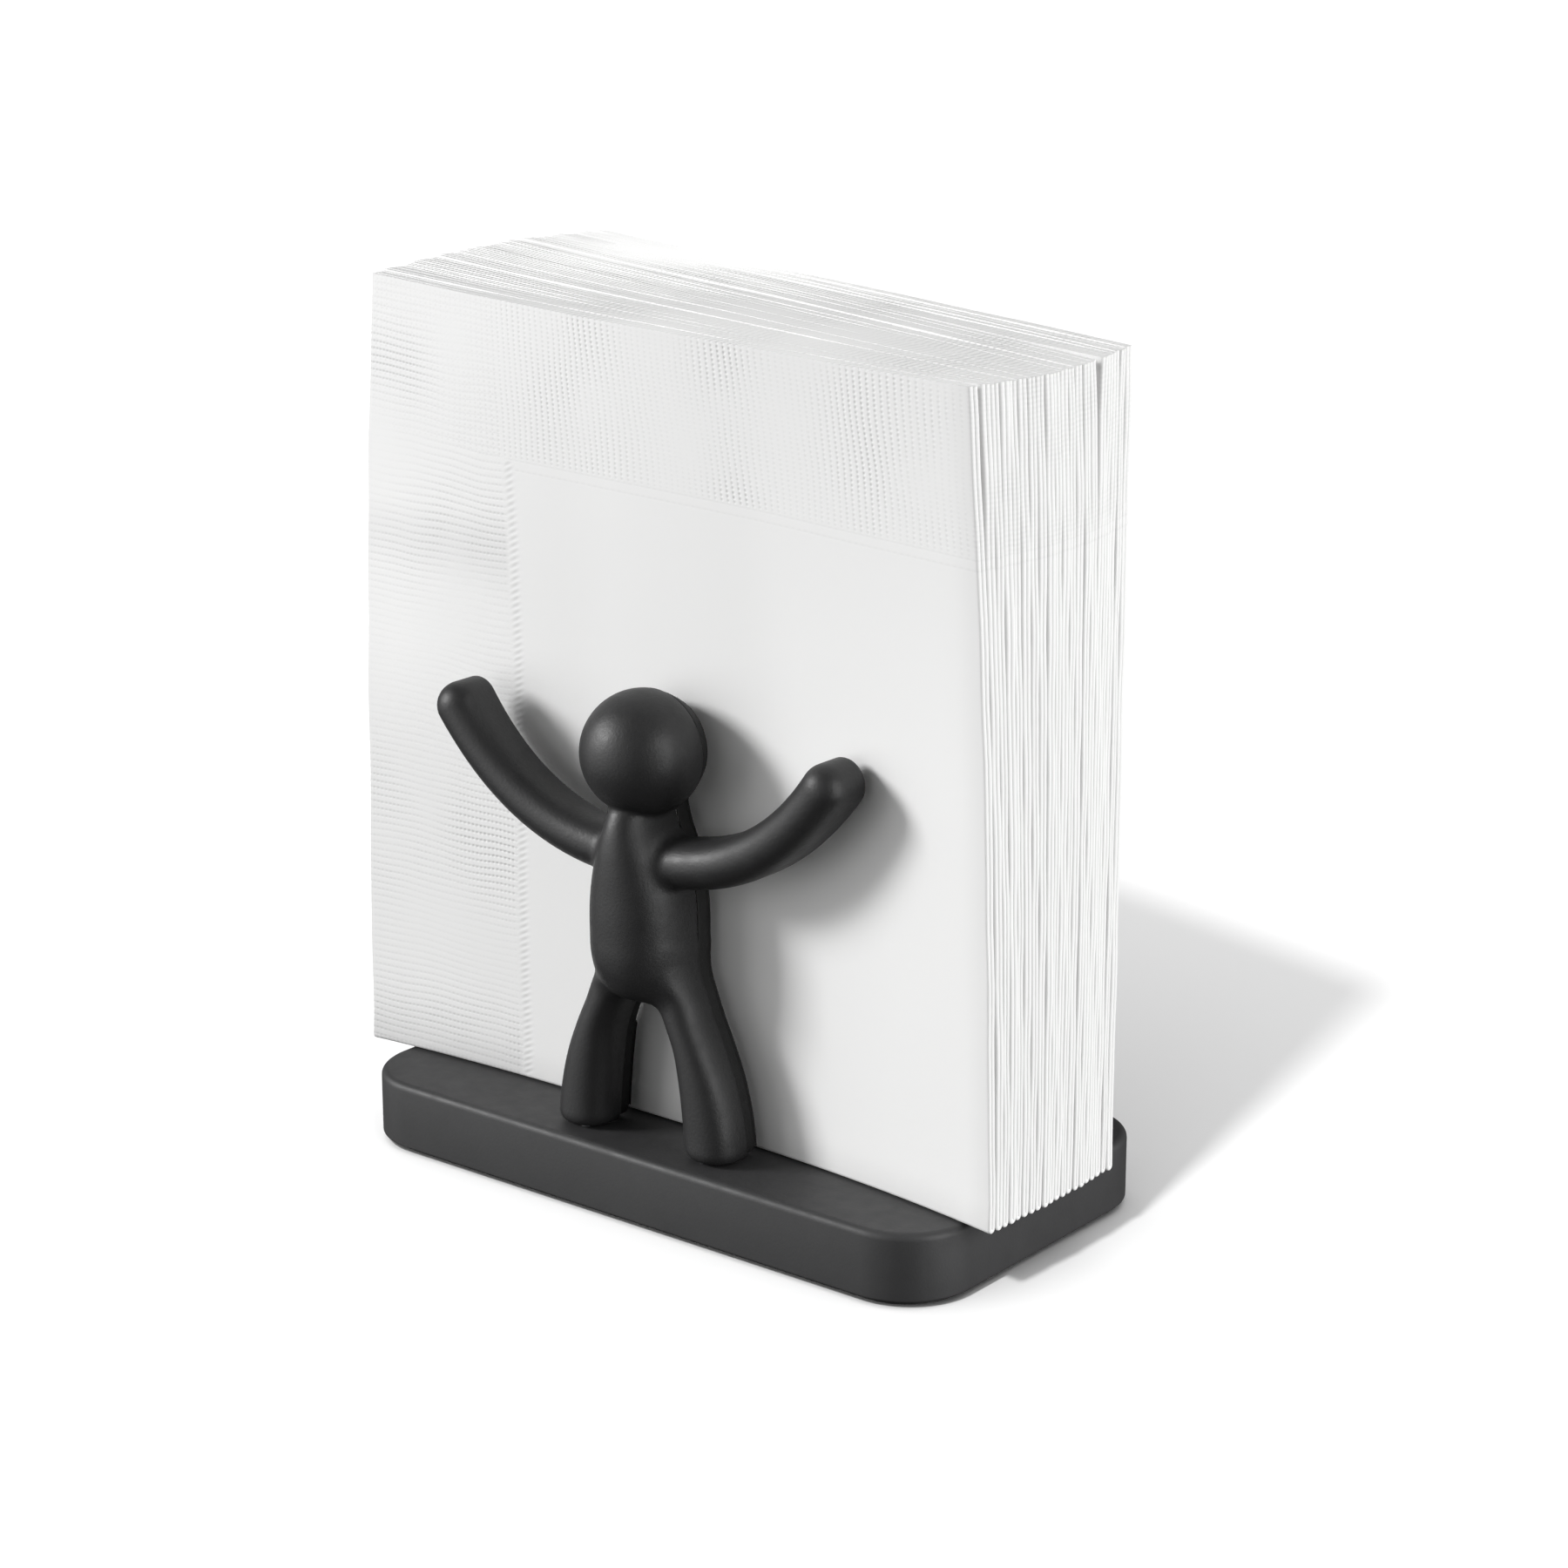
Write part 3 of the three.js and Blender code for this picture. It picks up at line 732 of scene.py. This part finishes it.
def base_profile():
    """(inset, height) pairs from the hollow's roof down its wall, round the rim and up to the top face."""
    roof = BASE_TOP - BASE_WALL
    profile = [(BASE_WALL, roof), (BASE_WALL, RIM_HEIGHT + RIM_EDGE)]
    profile += [(BASE_WALL - 0.4 * RIM_EDGE, RIM_HEIGHT + 0.2 * RIM_EDGE), (BASE_WALL - RIM_EDGE, RIM_HEIGHT)]
    profile += quarter_round(RIM_EDGE, RIM_HEIGHT + RIM_EDGE, RIM_EDGE, -90)
    profile += quarter_round(BASE_EDGE, BASE_TOP - BASE_EDGE, BASE_EDGE, 0)
    return profile


def make_base():
    rings = [rounded_ring(inset, height) for inset, height in base_profile()]
    around = len(rings[0])
    faces = [list(range(around))[::-1]]
    for level in range(len(rings) - 1):
        for i in range(around):
            a = level * around + i
            b = level * around + (i + 1) % around
            faces.append((a, a + around, b + around, b))
    vertices = [point for ring in rings for point in ring]
    faces.append(list(range(len(vertices) - around, len(vertices))))
    base = new_piece("base_housing", vertices, faces, "holder", BASE_GREY)
    for face in (base.data.polygons[0], base.data.polygons[-1]):
        face.use_smooth = False
    turn_faces_outwards(base)
    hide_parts("base_shell")
    return base


def turn_faces_outwards(piece):
    mesh = bmesh.new()
    mesh.from_mesh(piece.data)
    bmesh.ops.recalc_face_normals(mesh, faces=mesh.faces[:])
    mesh.to_mesh(piece.data)
    mesh.free()


# ---------- refill ----------


def leaning(x, height, grip):
    """0 where the grip keeps the stack as it is at its foot, up to 1 where it has fanned out fully."""
    rise = np.maximum(0, height) / NAPKIN_SIZE
    above = np.maximum(0, STACK_FOOT + height - GRIP_HEIGHT)
    gripped = above / (STACK_FOOT + NAPKIN_SIZE - GRIP_HEIGHT)
    return mix(gripped**1.3, rise**1.6, rising(np.abs(x), grip, FREE_EDGE))


def stack_front(x, height):
    foot = FRONT_FOOT - FRONT_BOW * (np.abs(x - BOW_MIDDLE) / BOW_SPAN) ** 2.6
    top = FRONT_TOP - FRONT_SLANT * x + FRONT_CROWN * (x / STACK_HALF) ** 2
    return mix(foot, top, leaning(x, height, FRONT_GRIP))


def stack_back(x, height):
    right = -BACK_DRAWN_IN * (np.maximum(0, x) / BACK_SPANS[0]) ** 1.5
    left = BACK_SPREAD * np.maximum(0, -x - REAR_GRIP) / BACK_SPANS[1]
    top = BACK_TOP - BACK_SLANT * x
    return mix(BACK_FOOT + right + left, top, leaning(x, height, REAR_GRIP))


def ripple(number, place, pitch, size):
    """A soft wave along an edge, made of two out of step, so that no two napkins have the same one."""
    turn = 2 * np.pi * place / pitch
    return size * (0.6 * np.sin(turn + 2.4 * number) + 0.4 * np.sin(1.73 * turn + 4.1 * number))


def closing(x, height):
    """How far the leaves have swollen to touch: fully along the top, apart from its right end."""
    return rising(height, *SWELL_HEIGHTS) * rising(x, *SWELL_ENDS)


def gap_behind(number, x, height):
    """Air behind a napkin, mm: uneven from one to the next, and wide at the top right of two."""
    usual = 0.09 + 0.26 * np.sin(1.9 * number + 0.7) ** 4 + ripple(number, height, 70, 0.08)
    width, end = OPENED.get(number, (0.0, 0))
    towards_corner = rising(x, 10, 80) * rising(height, end, NAPKIN_SIZE)
    return np.maximum(usual, LEAST_GAP) * (1 - 0.85 * closing(x, height)) + width * towards_corner**1.3


def napkin_faces(number, x, height):
    """The front and back of a napkin at places in the fanned stack."""
    front = stack_front(x, height) + GAP / 2
    depth = stack_back(x, height) - GAP / 2 - front
    gaps = [gap_behind(i, x, height) for i in range(NAPKIN_COUNT - 1)]
    shares = [1 + 0.1 * math.sin(2.7 * i) for i in range(NAPKIN_COUNT)]
    paper = (depth - sum(gaps)) / sum(shares)
    start = front + sum(gaps[:number]) + sum(shares[:number]) * paper
    return start, start + shares[number] * paper


def fold_stations(free, skew):
    """(distance from the fold, angle round it) along one direction of a sheet, from edge to edge.
    The first half is longer than the second by twice the skew."""
    spaced = np.linspace(free, 0, SHEET_CELLS + 1)
    first = 1 + skew / NAPKIN_SIZE
    second = 1 - skew / NAPKIN_SIZE
    round_fold = [(0.0, math.pi * i / FOLD_STEPS) for i in range(1, FOLD_STEPS)]
    return [(s * first, 0.0) for s in spaced] + round_fold + [(s * second, math.pi) for s in spaced[::-1]]


def soft_waves(number, x, height):
    """Undulations of the paper, mm, strongest where its border is puckered."""
    waves = 0.25 * np.sin(x / 17 + number) * np.sin(height / 23 + 2 * number)
    pucker = bell(height, 115, 8) + 0.7 * bell(height, 8, 7)
    return waves - 0.25 * bell(x, -70, 22) * pucker


def leaf_layout(number, thickness, x, height):
    """Thickness of a napkin's four leaves, and how far the inner and outer two lie from its middle plane."""
    filled = mix(LEAF_SHARE, SWOLLEN_SHARE, closing(x, height))
    leaf = np.minimum(filled * thickness / 4, THICKEST_LEAF)
    inner = leaf / 2 + 0.01 + 0.3 * np.abs(ripple(number, height, 55, 0.07))
    outer = thickness / 2 - leaf / 2
    return leaf, inner, outer


def slipped(number, x, z, place_x, height, bulge):
    """The sheet's x and z once it has slipped and rippled a little, most in the middle of the stack."""
    from_fold = STACK_RIGHT - place_x
    x = x + (SLIP[0] + SLIP[1] * height) * bulge + 0.12 * math.sin(7.3 * number)
    x = x + ripple(number, height, 47, 0.25) * from_fold / NAPKIN_SIZE
    x = x + ripple(number, height, 38, 0.12)
    z = z + 0.05 * abs(math.sin(5.1 * number)) + from_fold * RISE * bulge
    z = z - CORNER_DROP * bulge * rising(place_x, 0, 80) * height / NAPKIN_SIZE
    z = z + ripple(number + 5, place_x, 60, 0.05) * height / NAPKIN_SIZE
    return x, z


def napkin_points(number, columns, rows):
    """Places of a quarter-folded sheet's grid, folded once at the right and once at the bottom,
    and the thickness of its leaves there."""
    out_x, turn_x = (np.array(c)[:, None] for c in zip(*columns))
    out_z, turn_z = (np.array(c)[None, :] for c in zip(*rows))
    place_x = STACK_RIGHT - out_x + 0 * out_z
    height = out_z + 0 * out_x
    front, back = napkin_faces(number, np.clip(place_x, *STACK_ENDS), height)
    thickness = back - front
    leaf, inner, outer = leaf_layout(number, thickness, place_x, height)
    radius = (outer - inner) / 2
    offset = (outer + inner) / 2 + radius * np.cos(turn_x)  # from the napkin's middle plane
    forwards = offset * np.cos(turn_z)
    bulge = np.sin(np.pi * (number + 0.5 - forwards / thickness) / NAPKIN_COUNT)
    x = place_x - radius * (1 - np.sin(turn_x) ** FOLD_FLATNESS)
    y = (front + back) / 2 - forwards
    z = STACK_FOOT + height + outer - offset * np.sin(turn_z)
    x, z = slipped(number, x, z, place_x, height, bulge)
    if number == 0:
        y = y + soft_waves(number, place_x, height) * rising(height, 0, 10)
    return np.stack([x, y, z], -1), leaf


def sharpen_boundary(piece):
    """Marks an open sheet's edges sharp, so that its thickness shows as a crisp cut edge."""
    mesh = bmesh.new()
    mesh.from_mesh(piece.data)
    for edge in mesh.edges:
        edge.smooth = not edge.is_boundary
    mesh.to_mesh(piece.data)
    mesh.free()


def add_sheet_map(piece, columns, rows):
    """A UV map that holds each point's distance from the sheet's free edges, in metres."""
    edge_x = np.array([NAPKIN_SIZE - out for out, turn in columns])
    edge_z = np.array([SHEET_HEIGHT - out for out, turn in rows])
    layer = piece.data.uv_layers.new(name="sheet")
    corner = np.zeros(len(piece.data.loops), int)
    piece.data.loops.foreach_get("vertex_index", corner)
    sheet = np.stack([edge_x[corner // len(rows)], edge_z[corner % len(rows)]], 1) * MM
    layer.data.foreach_set("uv", sheet.astype(np.float32).ravel())


def thicken(piece, leaf):
    """Gives a sheet the thickness of its leaves, which differs from place to place."""
    fullness = piece.vertex_groups.new(name="fullness")
    for index, share in enumerate((leaf / THICKEST_LEAF).ravel().tolist()):
        fullness.add([index], share, "REPLACE")
    thickness = piece.modifiers.new("paper", "SOLIDIFY")
    thickness.thickness = THICKEST_LEAF * MM
    thickness.offset = 0
    thickness.vertex_group = fullness.name


def make_napkin(number):
    columns = fold_stations(NAPKIN_SIZE, 0.5 * math.sin(3.3 * number))
    rows = fold_stations(SHEET_HEIGHT, 0.08 * math.sin(1.7 * number + 0.6))
    points, leaf = napkin_points(number, columns, rows)
    faces = grid_faces(len(columns), len(rows))
    name = f"napkin_sheet_{number + 1:02d}"
    piece = new_piece(name, points.reshape(-1, 3), faces, "refill", PAPER_WHITE)
    add_sheet_map(piece, columns, rows)
    sharpen_boundary(piece)
    thicken(piece, leaf)
    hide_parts(f"napkin_{number + 1:02d}")


# ---------- carried-over CAD nodes ----------


def finish_nodes():
    """Procedural materials on the CAD nodes that stay."""
    materials = {"weight_plate": STEEL, "bottom_cover": FIGURE_BLACK, "foot_pad": RUBBER}
    for name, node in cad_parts.items():
        material = STEEL if "screw" in name else materials.get(name)
        if material is None:
            continue
        for slot in node.material_slots:
            slot.material = material


# ---------- studio ----------


def make_floor():
    spaced = [FLOOR_SIDE * (i / FLOOR_CELLS - 0.5) for i in range(FLOOR_CELLS + 1)]
    mesh = bpy.data.meshes.new("floor")
    mesh.from_pydata([(x, y, 0) for x in spaced for y in spaced], [], grid_faces(len(spaced), len(spaced)))
    mesh.materials.append(pale_floor())
    floor = bpy.data.objects.new("floor", mesh)
    bpy.context.scene.collection.objects.link(floor)
    floor.visible_diffuse = False
    floor.visible_glossy = False
    return floor


def studio_light(kind, name, direction, size, power, floor, lights_floor):
    """A soft light seen from the object in that direction, for the floor alone or for all but it.
    An area light's size is its side in metres, and a sun's is its angle in degrees."""
    data = bpy.data.lights.new(name, kind)
    data.energy = power
    if kind == "AREA":
        data.size = size
    else:
        data.angle = math.radians(size)
    lamp = bpy.data.objects.new(name, data)
    towards = Vector(direction).normalized()
    lamp.location = LIGHT_AIM + towards * LIGHT_DISTANCE
    lamp.rotation_mode = "QUATERNION"
    lamp.rotation_quaternion = (-towards).to_track_quat("-Z", "Y")
    bpy.context.scene.collection.objects.link(lamp)
    lit = bpy.data.collections.new(name + "_receivers")
    lit.objects.link(floor)
    lit.collection_objects[0].light_linking.link_state = "INCLUDE" if lights_floor else "EXCLUDE"
    lamp.light_linking.receiver_collection = lit


def make_lights(floor):
    studio_light("AREA", "key", (-0.71, -0.57, 0.41), 0.8, KEY_POWER, floor, False)
    studio_light("AREA", "side_fill", (-0.72, -0.68, 0.10), 3.0, SIDE_FILL_POWER, floor, False)
    studio_light("AREA", "front", (-0.15, -0.95, 0.12), 3.0, FRONT_POWER, floor, False)
    studio_light("AREA", "right", (0.95, 0.15, 0.19), 3.5, RIGHT_POWER, floor, False)
    studio_light("SUN", "floor_front", (0.17, -0.93, 1.0), 5, FLOOR_FRONT_STRENGTH, floor, True)
    studio_light("SUN", "floor_fill", (0.0, -0.3, 1.0), 120, FLOOR_FILL_STRENGTH, floor, True)


def make_world():
    world = bpy.data.worlds.new("studio")
    world.use_nodes = True
    background = world.node_tree.nodes["Background"]
    background.inputs["Color"].default_value = (1, 1, 1, 1)
    background.inputs["Strength"].default_value = WORLD_STRENGTH
    bpy.context.scene.world = world
    bpy.context.scene.view_settings.view_transform = "Standard"


def make_camera():
    azimuth = math.radians(CAMERA_AZIMUTH)
    elevation = math.radians(CAMERA_ELEVATION)
    across = math.cos(elevation)
    back = Vector((math.sin(azimuth) * across, -math.cos(azimuth) * across, math.sin(elevation)))
    data = bpy.data.cameras.new("camera")
    data.lens = CAMERA_LENS
    data.sensor_width = CAMERA_SENSOR
    camera = bpy.data.objects.new("camera", data)
    camera.location = CAMERA_PLACE
    camera.rotation_mode = "QUATERNION"
    camera.rotation_quaternion = (-back).to_track_quat("-Z", "Y")
    bpy.context.scene.collection.objects.link(camera)
    bpy.context.scene.camera = camera


make_camera()
make_lights(make_floor())
make_world()
make_figures()
base_piece = make_base()
for napkin_number in range(NAPKIN_COUNT):
    make_napkin(napkin_number)
finish_nodes()

bpy.context.view_layer.update()
